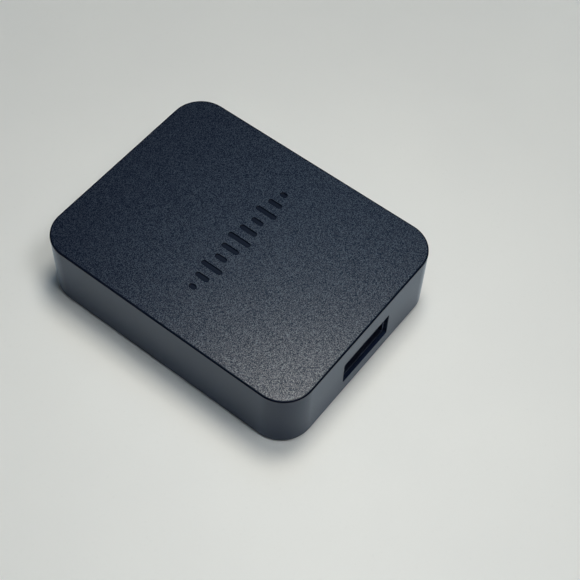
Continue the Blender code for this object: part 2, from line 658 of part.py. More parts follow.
def make_switch():
    """The side-push switch behind the button: body, snap dome and plunger."""
    rear = SWITCH_FRONT - SWITCH_SIZE.y
    shape = bmesh.new()
    half = SWITCH_SIZE.x / 2
    low, high = (BUTTON_X - half, rear, SEATED), (BUTTON_X + half, SWITCH_FRONT, SEATED + SWITCH_SIZE.z)
    add_box(shape, low, high)
    body = new_part("switch_body", shape, CHIP_BLACK)
    legs = bmesh.new()
    for side in (-1, 1):
        x, y = BUTTON_X + side * mm(2.5), mm(22.6)
        add_box(legs, (x - mm(0.3), y - mm(0.3), LEAD_END), (x + mm(0.3), y + mm(0.3), SEATED + WELD))
    unite(body, "legs", legs)
    bore = bmesh.new()
    bottom = SWITCH_FRONT - mm(1.8)
    add_rod(bore, PLUNGER_BORE, bottom, SWITCH_FRONT + PAST, (BUTTON_X, BUTTON_Z), "Y", steps=20)
    cut(body, "bore", bore)

    dome = bmesh.new()
    profile = [(0.0, 0.0), (mm(1.2), 0.0), (mm(1.2), mm(0.1)), (mm(0.7), mm(0.22)), (0.0, mm(0.27))]
    add_turned(dome, profile)
    bmesh.ops.rotate(dome, verts=dome.verts, matrix=Matrix.Rotation(math.radians(-90), 3, "X"))
    new_part("switch_dome", dome, TIN_PLATE, (BUTTON_X, bottom + SEAT / 2, BUTTON_Z), smooth=True)

    plunger = bmesh.new()
    tip = BACK - WALL - GAP - mm(0.75) - mm(0.15)
    tail = bottom + mm(0.32) + BUTTON_TRAVEL + mm(0.1)
    add_rod(plunger, PLUNGER_RADIUS, tail - tip, 0.0, (0.0, 0.0), "Y", steps=20)
    round_edges(plunger, mm(0.2), 2, at_level("Y", 0.0))
    new_part("switch_plunger", plunger, MILKY_PLASTIC, (BUTTON_X, tip, BUTTON_Z), smooth=True)


def make_status_light():
    """The light beside the button: a side-view lamp on the board, and a light pipe in the wall."""
    lamp = bmesh.new()
    add_box(lamp, mm(-0.8, -1.2, 0.0), mm(0.8, 0.0, 2.2))
    round_edges(lamp, mm(0.1), 1, every_edge)
    new_part("status_led", lamp, CERAMIC_WHITE, (LIGHT_X, mm(25.3), SEATED))
    flange_front = BACK - WALL - GAP
    profile = [
        (0.0, mm(25.6)),
        (LIGHT_RADIUS, mm(25.6)),
        (LIGHT_RADIUS, flange_front - mm(0.7)),
        (LIGHT_RADIUS + mm(0.4), flange_front - mm(0.7)),
        (LIGHT_RADIUS + mm(0.4), flange_front),
        (LIGHT_RADIUS, flange_front),
        (LIGHT_RADIUS, BACK - mm(0.3)),
        (LIGHT_RADIUS * 0.6, BACK - mm(0.1)),
        (0.0, BACK - mm(0.05)),
    ]
    pipe = bmesh.new()
    add_turned(pipe, profile, steps=20)
    bmesh.ops.rotate(pipe, verts=pipe.verts, matrix=Matrix.Rotation(math.radians(-90), 3, "X"))
    new_part("light_pipe", pipe, MILKY_PLASTIC, (LIGHT_X, 0.0, LIGHT_Z), smooth=True)


# ---------------------------------------------------------------------- the electronics


def make_radio_module():
    """The bluetooth module: its own small board, the chip under a shield can, and an antenna."""
    x, y = MODULE_PLACE
    board = bmesh.new()
    add_prism(board, rounded_rectangle(MODULE_SIZE.x, MODULE_SIZE.y, mm(0.4), 2), 0.0, MODULE_SIZE.z)
    new_part("module_pcb", board, BOARD_BLUE, (x, y, SEATED))

    level = MODULE_TOP + SEAT
    can_y = y + (MODULE_SIZE.y - CAN_SIZE.y) / 2 - mm(0.7)
    can = bmesh.new()
    add_prism(can, rounded_rectangle(CAN_SIZE.x, CAN_SIZE.y, mm(0.5), 2), 0.0, CAN_SIZE.z)
    round_edges(can, mm(0.2), 2, at_level("Z", CAN_SIZE.z))
    shield = new_part("module_shield_can", can, TIN_PLATE, (x, can_y, level))
    space = bmesh.new()
    inside = rounded_rectangle(CAN_SIZE.x - 2 * CAN_SHEET, CAN_SIZE.y - 2 * CAN_SHEET, mm(0.3), 2)
    add_prism(space, inside, -PAST, CAN_SIZE.z - CAN_SHEET)
    cut(shield, "space", space)

    make_chip("bluetooth_ic", (x, can_y), mm(5.0, 5.0, 0.85), CHIP_BLACK, level)
    antenna_y = y - MODULE_SIZE.y / 2 + mm(2.2)
    make_chip("chip_antenna", (x, antenna_y), mm(5.0, 2.0, 1.0), CERAMIC_WHITE, level)


def make_chip(name, place, size, finish, level=SEATED):
    """A small rectangular component with its edges eased, standing on a board."""
    shape = bmesh.new()
    add_box(shape, (-size.x / 2, -size.y / 2, 0.0), (size.x / 2, size.y / 2, size.z))
    round_edges(shape, min(size) * 0.12, 1, every_edge)
    new_part(name, shape, finish, (*place, level))


def make_filter_capacitors():
    """Electrolytic cans, each on its square base."""
    profile = [
        (0.0, mm(0.6)),
        (mm(2.0), mm(0.6)),
        (mm(2.0), mm(1.5)),
        (mm(1.85), mm(1.7)),
        (mm(2.0), mm(1.9)),
        (mm(2.0), mm(5.2)),
        (mm(1.8), mm(5.4)),
        (0.0, mm(5.4)),
    ]
    places = [mm(11.5, 8.5), mm(11.5, -17.5), mm(4.5, 8.5)]
    for number, (x, y) in enumerate(places, start=1):
        base = bmesh.new()
        add_prism(base, rounded_rectangle(mm(4.3), mm(4.3), mm(0.5), 2), 0.0, mm(0.8))
        capacitor = new_part(f"filter_capacitor_{number}", base, ALUMINIUM, (x, y, SEATED))
        can = bmesh.new()
        add_turned(can, profile, steps=20)
        unite(capacitor, "can", can)


def make_small_components():
    """Chips and passives of the power and audio circuits."""
    make_chip("audio_codec", mm(12.0, -8.0), mm(5.0, 5.0, 0.9), CHIP_BLACK)
    make_chip("power_regulator", mm(1.8, 17.5), mm(3.0, 3.0, 0.8), CHIP_BLACK)
    make_chip("power_inductor", mm(-4.0, 14.5), mm(4.0, 4.0, 2.0), FERRITE)
    make_chip("crystal_oscillator", mm(-2.5, -6.0), mm(3.2, 2.5, 0.7), TIN_PLATE)
    ceramic_places = [mm(1.8, 13.5), mm(6.3, 14.5), mm(7.0, -8.0), mm(12.0, -3.5)]
    for number, place in enumerate(ceramic_places, start=1):
        make_chip(f"ceramic_capacitor_{number}", place, mm(2.0, 1.25, 0.9), CERAMIC_BUFF)
    resistor_places = [mm(-2.5, -10.0), mm(3.0, -4.0), mm(-10.0, 15.0), mm(-10.0, 17.0)]
    for number, place in enumerate(resistor_places, start=1):
        make_chip(f"resistor_{number}", place, mm(1.6, 0.8, 0.45), CHIP_BLACK)


# ---------------------------------------------------------------------------- assembly


def main():
    """Build the receiver, piece by piece."""
    clear_scene()
    receiver = bpy.data.objects.new("receiver", None)
    bpy.context.scene.collection.objects.link(receiver)

    make_top_shell()
    make_bottom_plate()
    make_feet()
    make_rating_label()
    head_level = STAND_OFF + CASE_SCREW_SINK - SEAT - CASE_SCREW_HEAD_HEIGHT
    make_screws(
        "case_screw", CASE_SCREW_PLACES, head_level,
        CASE_SCREW_RADIUS, CASE_SCREW_HEAD, CASE_SCREW_HEAD_HEIGHT, CASE_SCREW_LENGTH,
    )
    head_level = BOARD_BOTTOM - SEAT - BOARD_SCREW_HEAD_HEIGHT
    make_screws(
        "pcb_screw", BOARD_SCREW_PLACES, head_level,
        BOARD_SCREW_RADIUS, BOARD_SCREW_HEAD, BOARD_SCREW_HEAD_HEIGHT, BOARD_SCREW_LENGTH,
    )
    make_main_board()
    make_usb_a_socket()
    make_audio_jack()
    make_power_inlet()
    make_pair_button()
    make_switch()
    make_status_light()
    make_radio_module()
    make_filter_capacitors()
    make_small_components()


main()
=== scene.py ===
"""Looks of the bluetooth audio receiver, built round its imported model.

The housing, plate, feet, screws, label, sockets, button and light pipe get fine meshes
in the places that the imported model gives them, with true round edges. The other parts
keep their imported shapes. Every part gets a material with its own grain. Lengths are in
metres, written in millimetres through mm().
"""

import json
import math

import bmesh
import bpy
from mathutils import Matrix, Vector


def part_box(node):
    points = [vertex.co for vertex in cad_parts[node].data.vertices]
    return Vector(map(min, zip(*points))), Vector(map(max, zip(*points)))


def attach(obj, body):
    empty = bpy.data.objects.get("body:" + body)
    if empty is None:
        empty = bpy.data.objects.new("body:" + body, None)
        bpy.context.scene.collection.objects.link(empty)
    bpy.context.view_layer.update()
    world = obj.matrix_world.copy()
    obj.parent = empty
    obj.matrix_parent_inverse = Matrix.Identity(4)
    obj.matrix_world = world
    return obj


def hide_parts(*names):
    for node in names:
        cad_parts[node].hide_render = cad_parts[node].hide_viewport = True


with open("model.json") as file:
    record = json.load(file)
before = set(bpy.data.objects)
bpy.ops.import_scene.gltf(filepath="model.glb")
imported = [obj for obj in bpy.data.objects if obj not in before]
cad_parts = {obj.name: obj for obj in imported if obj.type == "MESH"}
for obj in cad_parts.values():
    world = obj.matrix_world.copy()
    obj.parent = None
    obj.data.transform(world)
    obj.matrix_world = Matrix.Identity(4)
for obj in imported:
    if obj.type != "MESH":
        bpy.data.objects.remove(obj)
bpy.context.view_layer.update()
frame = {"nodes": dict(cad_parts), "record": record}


def mm(*values):
    """Millimetres to metres: a number from one value, a Vector from several."""
    if len(values) == 1:
        return values[0] * 0.001
    return Vector(values) * 0.001


# ------------------------------------------------------------------ camera and lighting

CAMERA_AZIMUTH = math.radians(-54.75)      # 0 looks along +Y
CAMERA_ELEVATION = math.radians(56.64)
CAMERA_ROLL = math.radians(3.08)
CAMERA_TARGET = mm(1.2, -10.9, 7.0)
CAMERA_DISTANCE = mm(235.2)
CAMERA_LENS = 79.85                        # in millimetres, as the sensor's width is
CAMERA_SENSOR = 36.0
CAMERA_NEAR = mm(5.0)                      # nothing nearer to the camera is drawn

WHITE = (1.0, 1.0, 1.0)
# name, elevation and direction in degrees (0 is +X, 90 is +Y), distance in millimetres,
# power in watts, spread of its beam in degrees, colour
LAMPS = (
    ("overhead", 80, 0, 300, 0.1327, 100, (1.0, 0.947, 0.858)),
    ("front", 68, 270, 300, 0.0408, 100, WHITE),
    ("front far", 62, 270, 900, 0.0483, 30, WHITE),
    ("window", 62, 30, 900, 0.531, 180, (0.548, 0.770, 1.0)),
    ("left", 80, 210, 300, 0.0212, 100, (0.66, 0.83, 1.0)),
)
LAMP_AIM = mm(-20.0, -20.0, 0.0)
LAMP_SIDE = 0.29                           # side of a lamp over its distance
AMBIENT = 0.03
AMBIENT_TONE = (0.90, 0.95, 1.0)
BACKDROP = (0.66, 0.685, 0.665)


def make_camera():
    """The camera at the object's three-quarter view from above."""
    camera = bpy.data.objects.new("camera", bpy.data.cameras.new("camera"))
    bpy.context.scene.collection.objects.link(camera)
    camera.data.lens = CAMERA_LENS
    camera.data.sensor_width = CAMERA_SENSOR
    camera.data.clip_start = CAMERA_NEAR
    back = Vector((
        math.sin(CAMERA_AZIMUTH) * math.cos(CAMERA_ELEVATION),
        -math.cos(CAMERA_AZIMUTH) * math.cos(CAMERA_ELEVATION),
        math.sin(CAMERA_ELEVATION),
    ))
    camera.location = CAMERA_TARGET + back * CAMERA_DISTANCE
    aim = (-back).to_track_quat("-Z", "Y").to_matrix()
    camera.rotation_euler = (aim @ Matrix.Rotation(CAMERA_ROLL, 3, "Z")).to_euler()
    bpy.context.scene.camera = camera


def make_lamps():
    """Soft square lamps, all aimed at the table under the receiver's near corner."""
    for name, elevation, direction, distance, power, spread, colour in LAMPS:
        light = bpy.data.lights.new(name, "AREA")
        light.shape = "SQUARE"
        light.size = mm(distance) * LAMP_SIDE
        light.energy = power
        light.spread = math.radians(spread)
        light.color = colour
        lamp = bpy.data.objects.new(name, light)
        high, round_z = math.radians(elevation), math.radians(direction)
        across = math.cos(high)
        toward = Vector((across * math.cos(round_z), across * math.sin(round_z), math.sin(high)))
        lamp.location = toward * mm(distance)
        lamp.rotation_euler = (LAMP_AIM - lamp.location).to_track_quat("-Z", "Y").to_euler()
        bpy.context.scene.collection.objects.link(lamp)


def make_world():
    """Dim pale surroundings for light and reflections, with the backdrop's tone behind the floor."""
    world = bpy.data.worlds.new("studio")
    bpy.context.scene.world = world
    world.use_nodes = True
    nodes, links = world.node_tree.nodes, world.node_tree.links
    nodes.clear()
    dim = nodes.new("ShaderNodeBackground")
    dim.inputs["Color"].default_value = (*AMBIENT_TONE, 1.0)
    dim.inputs["Strength"].default_value = AMBIENT
    seen = nodes.new("ShaderNodeBackground")
    seen.inputs["Color"].default_value = (*BACKDROP, 1.0)
    path = nodes.new("ShaderNodeLightPath")
    mix = nodes.new("ShaderNodeMixShader")
    output = nodes.new("ShaderNodeOutputWorld")
    links.new(path.outputs["Is Camera Ray"], mix.inputs[0])
    links.new(dim.outputs[0], mix.inputs[1])
    links.new(seen.outputs[0], mix.inputs[2])
    links.new(mix.outputs[0], output.inputs["Surface"])


# -------------------------------------------------------------------------- materials

NOISE_BAND = (0.3, 0.7)                    # most of a noise lies between these
WIDE_BAND = (0.25, 0.75)                   # and nearly all of it between these


class Material:
    """A material whose grain comes from the object's own coordinates."""

    def __init__(self, name):
        self.material = bpy.data.materials.new(name)
        self.material.use_nodes = True
        self.nodes = self.material.node_tree.nodes
        self.links = self.material.node_tree.links
        self.shader = self.nodes["Principled BSDF"]
        self.place = self.add("ShaderNodeTexCoord").outputs["Object"]

    def add(self, kind, **settings):
        """A node with its settings."""
        node = self.nodes.new(kind)
        for key, value in settings.items():
            setattr(node, key, value)
        return node

    def feed(self, node, **inputs):
        """Set or link a node's inputs, named with _ for a space."""
        for key, value in inputs.items():
            self.put(value, node.inputs[key.replace("_", " ")])
        return node

    def put(self, value, socket):
        """Link a value to a socket where it comes from a node, and else set it."""
        if isinstance(value, bpy.types.NodeSocket):
            self.links.new(value, socket)
        else:
            socket.default_value = value

    def stretched(self, scale):
        """The object's coordinates, scaled along each axis."""
        return self.feed(self.add("ShaderNodeMapping"), Vector=self.place, Scale=scale).outputs[0]

    def noise(self, size, detail=2.0, roughness=0.5, place=None):
        """Noise from 0 to 1 whose features are about this size."""
        node = self.add("ShaderNodeTexNoise")
        self.feed(node, Vector=place or self.place, Scale=1.0 / size, Detail=detail, Roughness=roughness)
        return node.outputs["Fac"]

    def spread(self, value, low, high, new_low, new_high):
        """Map low..high of a value to new_low..new_high, held at both ends."""
        node = self.add("ShaderNodeMapRange")
        values = {"Value": value, "From Min": low, "From Max": high, "To Min": new_low, "To Max": new_high}
        return self.feed(node, **values).outputs[0]

    def swing(self, noise, low, high):
        """Map the band where most of a noise lies to low..high."""
        return self.spread(noise, *NOISE_BAND, low, high)

    def blend(self, amount, first, second):
        """Mix two colours by an amount."""
        node = self.add("ShaderNodeMix", data_type="RGBA")
        colours = [v if isinstance(v, bpy.types.NodeSocket) else (*v, 1.0) for v in (first, second)]
        for number, value in zip((0, 6, 7), (amount, *colours)):      # the node's inputs for colours
            self.put(value, node.inputs[number])
        return node.outputs[2]

    def vary(self, amount, colour, contrast):
        """A colour that goes from darker to lighter by a contrast, as an amount goes from 0 to 1."""
        return self.blend(amount, scaled(colour, 1 - contrast), scaled(colour, 1 + contrast))

    def bump(self, height, distance, strength=1.0, normal=None):
        """A bumped normal from a height from 0 to 1, standing for a distance."""
        node = self.feed(self.add("ShaderNodeBump"), Height=height, Distance=distance, Strength=strength)
        if normal:
            self.links.new(normal, node.inputs["Normal"])
        return node.outputs[0]

    def shade(self, **inputs):
        """Set or link the shader's inputs, and give back the material."""
        self.feed(self.shader, **inputs)
        return self.material

    def sheen(self, tone, colour, roughness, ior, strength, normal, lobe):
        """In place of the shader: a matt body under a tinted gloss, which grows toward grazing angles."""
        body = self.feed(self.add("ShaderNodeBsdfDiffuse"), Color=tone, Normal=normal)
        shine = self.add("ShaderNodeBsdfAnisotropic", distribution=lobe)
        self.feed(shine, Color=(*colour, 1.0), Roughness=roughness, Normal=normal)
        share = self.add("ShaderNodeMath", operation="MULTIPLY")
        mirror = self.feed(self.add("ShaderNodeFresnel"), IOR=ior, Normal=normal)
        mix = self.add("ShaderNodeMixShader")
        for source, target, number in ((mirror, share, 0), (share, mix, 0), (body, mix, 1), (shine, mix, 2)):
            self.links.new(source.outputs[0], target.inputs[number])
        self.put(strength, share.inputs[1])
        self.links.new(mix.outputs[0], self.nodes["Material Output"].inputs["Surface"])
        self.nodes.remove(self.shader)
        return self.material


def scaled(colour, factor):
    """A colour made lighter or darker."""
    return tuple(min(1.0, channel * factor) for channel in colour[:3])


GLOSS_SWING = 0.05                         # how far a finish's roughness strays


def grained(name, colour, roughness, grain, depth, metallic=0.0, patch=mm(4.0), contrast=0.15,
            stretch=None, **extra):
    """An even finish with fine grain, faint patches of tone and uneven gloss."""
    look = Material(name)
    place = look.stretched(stretch) if stretch else look.place
    fine = look.noise(grain, place=place)
    wide = look.noise(patch, detail=3.0, place=place)
    tone = look.vary(look.swing(wide, 0.0, 1.0), colour, contrast)
    gloss = look.spread(fine, *WIDE_BAND, roughness - GLOSS_SWING, roughness + GLOSS_SWING)
    normal = look.bump(fine, depth)
    return look.shade(Base_Color=tone, Roughness=gloss, Metallic=metallic, Normal=normal, **extra)


ROOF_GRAIN = mm(0.15)
ROOF_RELIEF = mm(0.022)
ROOF_SWELL = 2.5                           # size of its coarse grain over that of the fine
ROOF_SWELL_RELIEF = mm(0.014)
ROOF_PEAKS = (0.42, 0.66)                  # noise at the foot and at the top of a peak
ROOF_SHINE = (0.30, 2.00)                  # strength of the gloss in a pit and on a peak
ROOF_ROUGHNESS = 0.28
ROOF_IOR = 1.5
# the grain's tone, with painted shade in its pits and a painted highlight on its peaks
ROOF_PIT_SHADED = (0.0010, 0.0035, 0.0140)
ROOF_PEAK_LIT = (0.0180, 0.0240, 0.0390)

WALL_TONE = (0.0090, 0.0150, 0.0360)
WALL_IOR = 1.40
WALL_SHINE = 0.97
WALL_SHEEN = (0.80, 0.89, 1.0)
WALL_ROUGHNESS = (0.24, 0.265)
WALL_GRAIN = mm(0.12)
WALL_RELIEF = mm(0.0015)
WALL_FLOW = mm(6.0)
WALL_STRETCH = (1.0, 1.0, 0.4)             # draws the flow out along the height

EDGE_GRAIN = mm(0.4)
EDGE_ROUGHNESS = (0.20, 0.26)
MARK_GRAIN = mm(0.3)
MARK_RELIEF = mm(0.002)
MARK_ROUGHNESS = (0.22, 0.265)
# darker than the shell's plastic: painted dark reflection on the edge round the roof and on the mark's floor
DARK_REFLECTION_TONE = (0.0030, 0.0055, 0.0140)
MARK_SPECULAR = 0.10                       # of the mark and of the edge round the roof, turned down so that their painted dark reflection stays even

SOCKET_SHADE_TONE = (0.045, 0.060, 0.100)        # the can darkened to near black: painted shade inside the socket

TRACK_SCALE = 420.0
TRACK_LINE = 0.06
TRACK_RELIEF = mm(0.02)
LAMINATE_PATCH = mm(2.0)
LAMINATE_ROUGHNESS = 0.32


def roof_material():
    """Spark-eroded plastic: dull pits between fine burnished peaks, which catch the light. Its colour is the
    grain's tone with painted shade in the pits and a painted highlight on the peaks.
    """
    look = Material("roof_grain")
    fine = look.noise(ROOF_GRAIN, detail=1.0, roughness=0.6)
    coarse = look.noise(ROOF_GRAIN * ROOF_SWELL, detail=2.0, roughness=0.6)
    peaks = look.spread(fine, *ROOF_PEAKS, 0.0, 1.0)
    # darker in the pits and lighter on the peaks: painted shade and painted highlight over the grain's tone
    tone = look.blend(peaks, ROOF_PIT_SHADED, ROOF_PEAK_LIT)
    normal = look.bump(fine, ROOF_RELIEF, normal=look.bump(coarse, ROOF_SWELL_RELIEF))
    shine = look.spread(peaks, 0.0, 1.0, *ROOF_SHINE)
    return look.sheen(tone, WHITE, ROOF_ROUGHNESS, ROOF_IOR, shine, normal, "BECKMANN")


def wall_material():
    """The smooth satin of the walls, with a trace of flow in its gloss."""
    look = Material("wall_satin")
    fine = look.noise(WALL_GRAIN)
    flow = look.noise(WALL_FLOW, detail=3.0, place=look.stretched(WALL_STRETCH))
    tone = look.vary(flow, WALL_TONE, 0.15)
    gloss = look.swing(flow, *WALL_ROUGHNESS)
    normal = look.bump(fine, WALL_RELIEF)
    return look.sheen(tone, WALL_SHEEN, gloss, WALL_IOR, WALL_SHINE, normal, "GGX")


def edge_material():
    """The eased edge round the roof, painted darker than the plastic with its gloss turned down: painted dark
    reflection.
    """
    look = Material("edge_dark")
    fine = look.noise(EDGE_GRAIN)
    tone = look.vary(fine, DARK_REFLECTION_TONE, 0.1)
    gloss = look.swing(fine, *EDGE_ROUGHNESS)
    return look.shade(Base_Color=tone, Roughness=gloss, Specular_IOR_Level=MARK_SPECULAR)


def mark_material():
    """The smooth floor of the mark, painted darker than the plastic with its gloss turned down: painted dark
    reflection.
    """
    look = Material("mark_gloss")
    fine = look.noise(MARK_GRAIN)
    tone = look.vary(fine, DARK_REFLECTION_TONE, 0.2)
    gloss = look.swing(fine, *MARK_ROUGHNESS)
    normal = look.bump(fine, MARK_RELIEF)
    return look.shade(Base_Color=tone, Roughness=gloss, Specular_IOR_Level=MARK_SPECULAR, Normal=normal)


def laminate_material(name, colour):
    """Solder mask over tracks: a faint raised grid of copper under the lacquer."""
    look = Material(name)
    tracks = look.add("ShaderNodeTexBrick")
    look.feed(tracks, Vector=look.place, Scale=TRACK_SCALE, Mortar_Size=TRACK_LINE, Bias=0.0)
    under = tracks.outputs["Fac"]
    cloud = look.noise(LAMINATE_PATCH)
    tone = look.blend(under, scaled(colour, 0.8), scaled(colour, 1.5))
    tone = look.blend(look.swing(cloud, 0.0, 0.3), tone, scaled(colour, 0.6))
    normal = look.bump(under, TRACK_RELIEF, 0.6)
    return look.shade(Base_Color=tone, Roughness=LAMINATE_ROUGHNESS, Normal=normal)


def slot_materials():
    """One material for each of the record's slots, in the record's colours but for the socket's can, darkened
    as painted shade.
    """
    colour = {slot["slot"]: slot["base_color"] for slot in frame["record"]["materials"]}
    # the socket's can is darkened to near black: painted shade inside the socket
    colour["socket_nickel"] = SOCKET_SHADE_TONE
    finishes = {
        "plate_plastic": dict(roughness=0.55, grain=mm(0.25), depth=mm(0.02)),
        "button_plastic": dict(roughness=0.35, grain=mm(0.15), depth=mm(0.003)),
        "rubber": dict(roughness=0.80, grain=mm(0.12), depth=mm(0.01), contrast=0.25, Specular_IOR_Level=0.3),
        "screw_steel": dict(roughness=0.32, metallic=1.0, grain=mm(0.1), depth=mm(0.003), patch=mm(0.8)),
        "label_film": dict(roughness=0.38, metallic=0.3, grain=mm(0.1), depth=mm(0.002), stretch=(1, 12, 1)),
        "socket_nickel": dict(roughness=0.34, metallic=1.0, grain=mm(0.1), depth=mm(0.002), patch=mm(1.5)),
        "connector_tin": dict(roughness=0.30, metallic=1.0, grain=mm(0.1), depth=mm(0.002), patch=mm(1.0)),
        "contact_gold": dict(roughness=0.22, metallic=1.0, grain=mm(0.08), depth=mm(0.001), patch=mm(0.6)),
        "connector_plastic": dict(roughness=0.50, grain=mm(0.15), depth=mm(0.006)),
        "switch_nylon": dict(roughness=0.45, grain=mm(0.15), depth=mm(0.004), contrast=0.05),
        "light_acrylic": dict(roughness=0.18, grain=mm(0.3), depth=mm(0.001), contrast=0.04,
                              Transmission_Weight=0.35),
        "chip_resin": dict(roughness=0.58, grain=mm(0.1), depth=mm(0.006)),
        "ceramic": dict(roughness=0.40, grain=mm(0.2), depth=mm(0.003)),
        "ferrite": dict(roughness=0.75, grain=mm(0.15), depth=mm(0.02), contrast=0.3),
        "capacitor_aluminium": dict(roughness=0.30, metallic=1.0, grain=mm(0.1), depth=mm(0.002),
                                    stretch=(1, 1, 8)),
    }
    made = {name: grained(name, colour[name], **finish) for name, finish in finishes.items()}
    for name in ("board_laminate", "module_laminate"):
        made[name] = laminate_material(name, colour[name])
    made["shell_plastic"] = wall_material()
    return made


MATERIALS = slot_materials()


# ----------------------------------------------------------------------------- outlines

HAIR = mm(0.0001)                          # keeps the two arcs of a round end apart


def rounded_outline(width, height, radius, steps, centre=(0.0, 0.0)):
    """Anticlockwise (u, v) points of a rectangle with round corners."""
    points = []
    for quarter, (side_u, side_v) in enumerate(((1, 1), (-1, 1), (-1, -1), (1, -1))):
        middle_u = centre[0] + side_u * (width / 2 - radius)
        middle_v = centre[1] + side_v * (height / 2 - radius)
        for step in range(steps + 1):
            angle = math.radians(90) * (quarter + step / steps)
            points.append((middle_u + radius * math.cos(angle), middle_v + radius * math.sin(angle)))
    return points


def circle(radius, centre=(0.0, 0.0), steps=64):
    """(u, v) points of a circle."""
    angles = [math.tau * step / steps for step in range(steps)]
    return [(centre[0] + radius * math.cos(a), centre[1] + radius * math.sin(a)) for a in angles]


def rounded_polygon(points, radius, steps=4):
    """A convex polygon with its corners rounded, as (u, v) points."""
    corners = [Vector(point) for point in points]
    outline = []
    for number, corner in enumerate(corners):
        before = (corners[number - 1] - corner).normalized()
        after = (corners[(number + 1) % len(corners)] - corner).normalized()
        start, end = corner + before * radius, corner + after * radius
        for step in range(steps + 1):
            share = step / steps
            first, last = start.lerp(corner, share), corner.lerp(end, share)
            outline.append(tuple(first.lerp(last, share)))
    return outline


# Each of these gives an outline_at, a function of how far the outline is grown.


def rectangle_at(width, height, radius, steps, centre=(0.0, 0.0)):
    """An outline_at for a rectangle with round corners."""
    return lambda grow: rounded_outline(width + 2 * grow, height + 2 * grow, radius + grow, steps, centre)


def oblong_at(width, height, steps, centre):
    """An outline_at for an oblong with round ends."""
    return rectangle_at(width, height, min(width, height) / 2 - HAIR, steps, centre)


def circle_at(radius, centre, steps=64):
    """An outline_at for a circle."""
    return lambda grow: circle(radius + grow, centre, steps)


def cross_at(arm, half):
    """An outline_at for a cross recess: four arms, each twice half wide."""
    def outline(grow):
        reach, side = arm + grow, half + grow
        points = [(side, side), (side, reach), (-side, reach), (-side, side), (-reach, side), (-reach, -side)]
        return points + [(-u, -v) for u, v in points]
    return outline


# ----------------------------------------------------------------------- rings and lofts

PAST = mm(1.0)                             # how far a shape runs on past a face that it cuts or joins
MOUTH_START = math.radians(10)             # where the rounding of an opening's mouth starts, from the face


def ring(outline, level, axis="Z"):
    """An outline placed across the Y or Z axis, at a level of that axis."""
    if axis == "Y":
        return [Vector((u, level, v)) for u, v in outline]
    return [Vector((u, v, level)) for u, v in outline]


def turned_rings(profile, steps, radius_at=None):
    """Rings of a turned shape from (radius, level) pairs; radius_at(radius, level, angle) may vary them."""
    rings = []
    for radius, level in profile:
        points = []
        for step in range(steps):
            angle = math.tau * step / steps
            here = radius_at(radius, level, angle) if radius_at else radius
            points.append(Vector((here * math.cos(angle), here * math.sin(angle), level)))
        rings.append(points)
    return rings


def loft(shape, rings, tube=False):
    """Skin a row of rings of equal length. Cap both ends, or for a tube join the last ring to the first."""
    rows = [[shape.verts.new(point) for point in points] for points in rings]
    pairs = list(zip(rows, rows[1:]))
    if tube:
        pairs.append((rows[-1], rows[0]))
    else:
        shape.faces.new(rows[0][::-1])
        shape.faces.new(rows[-1])
    for low, high in pairs:
        for here in range(len(low)):
            after = (here + 1) % len(low)
            shape.faces.new((low[here], low[after], high[after], high[here]))


def arc(steps=6, first=0.0):
    """(1 - cos, 1 - sin) along a quarter turn, for round edges."""
    turn = math.pi / 2
    angles = [first + (turn - first) * step / steps for step in range(steps + 1)]
    return [(1 - math.cos(angle), 1 - math.sin(angle)) for angle in angles]


def add_box(shape, low, high):
    """A box between its lowest and highest corners."""
    low, high = Vector(low), Vector(high)
    place = Matrix.Translation((low + high) / 2) @ Matrix.Diagonal((*(high - low), 1.0))
    bmesh.ops.create_cube(shape, size=1.0, matrix=place)


def add_block(shape, outline_at, start, end, edge, axis="Z", steps=4):
    """A prism with round edges at both ends."""
    side = math.copysign(1.0, end - start)
    rings = [ring(outline_at(-edge * back), start + side * edge * (1 - out), axis)
             for out, back in [(1 - sine, 1 - cosine) for cosine, sine in arc(steps)]]
    rings += [ring(outline_at(-edge * rise), end - side * edge * fall, axis) for rise, fall in arc(steps)]
    loft(shape, rings)


def add_opening(shape, outline_at, face, inward, depth, mouth, axis, floor=0.0):
    """A cutter for a hole from a face, with a rounded mouth and a rounded floor if wanted.

    inward is the hole's way along the axis, +1 or -1.
    """
    curve = arc(5, MOUTH_START)
    stations = [(mouth * curve[0][1], -PAST)]
    stations += [(mouth * sine, mouth * cosine) for cosine, sine in curve]
    if floor:
        stations += [(-floor * cosine, depth - floor * sine) for cosine, sine in arc(3)]
    else:
        stations.append((0.0, depth))
    loft(shape, [ring(outline_at(grow), face + inward * deep, axis) for grow, deep in stations])


def add_pocket(shape, place, size, face, inward, steps=64):
    """A cutter for a round pocket across Z, of a radius, a depth and the rounding of its mouth."""
    radius, depth, mouth = size
    add_opening(shape, circle_at(radius, place, steps), face, inward, depth, mouth, "Z")


def add_can(shape, outline_at, mouth, back, sheet, steps):
    """A sheet-metal tube along Y, from a rolled lip at its mouth to its open back."""
    side = math.copysign(1.0, back - mouth)
    turns = [math.pi * step / steps for step in range(steps + 1)]
    stations = [(0.0, back)]
    stations += [(-sheet / 2 * (1 - math.cos(turn)), mouth + side * sheet / 2 * (1 - math.sin(turn)))
                 for turn in turns]
    stations.append((-sheet, back))
    loft(shape, [ring(outline_at(grow), level, "Y") for grow, level in stations], tube=True)


# ----------------------------------------------------------------------- making pieces

SLOT_OF = {part["node"]: part["material_slot"] for part in frame["record"]["subparts"]}
BODY_OF = {
    node: body for body, members in frame["record"]["behaviour"]["bodies"].items() for node in members
}
SHARP = math.radians(32)                   # faces that meet at more than this stay creased
DOUBLED = mm(0.0005)                       # points nearer than this become one
THIN = mm(0.0001)                          # edges shorter than this are taken out


def middle(node):
    """The middle of a CAD node's box."""
    low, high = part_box(node)
    return (low + high) / 2


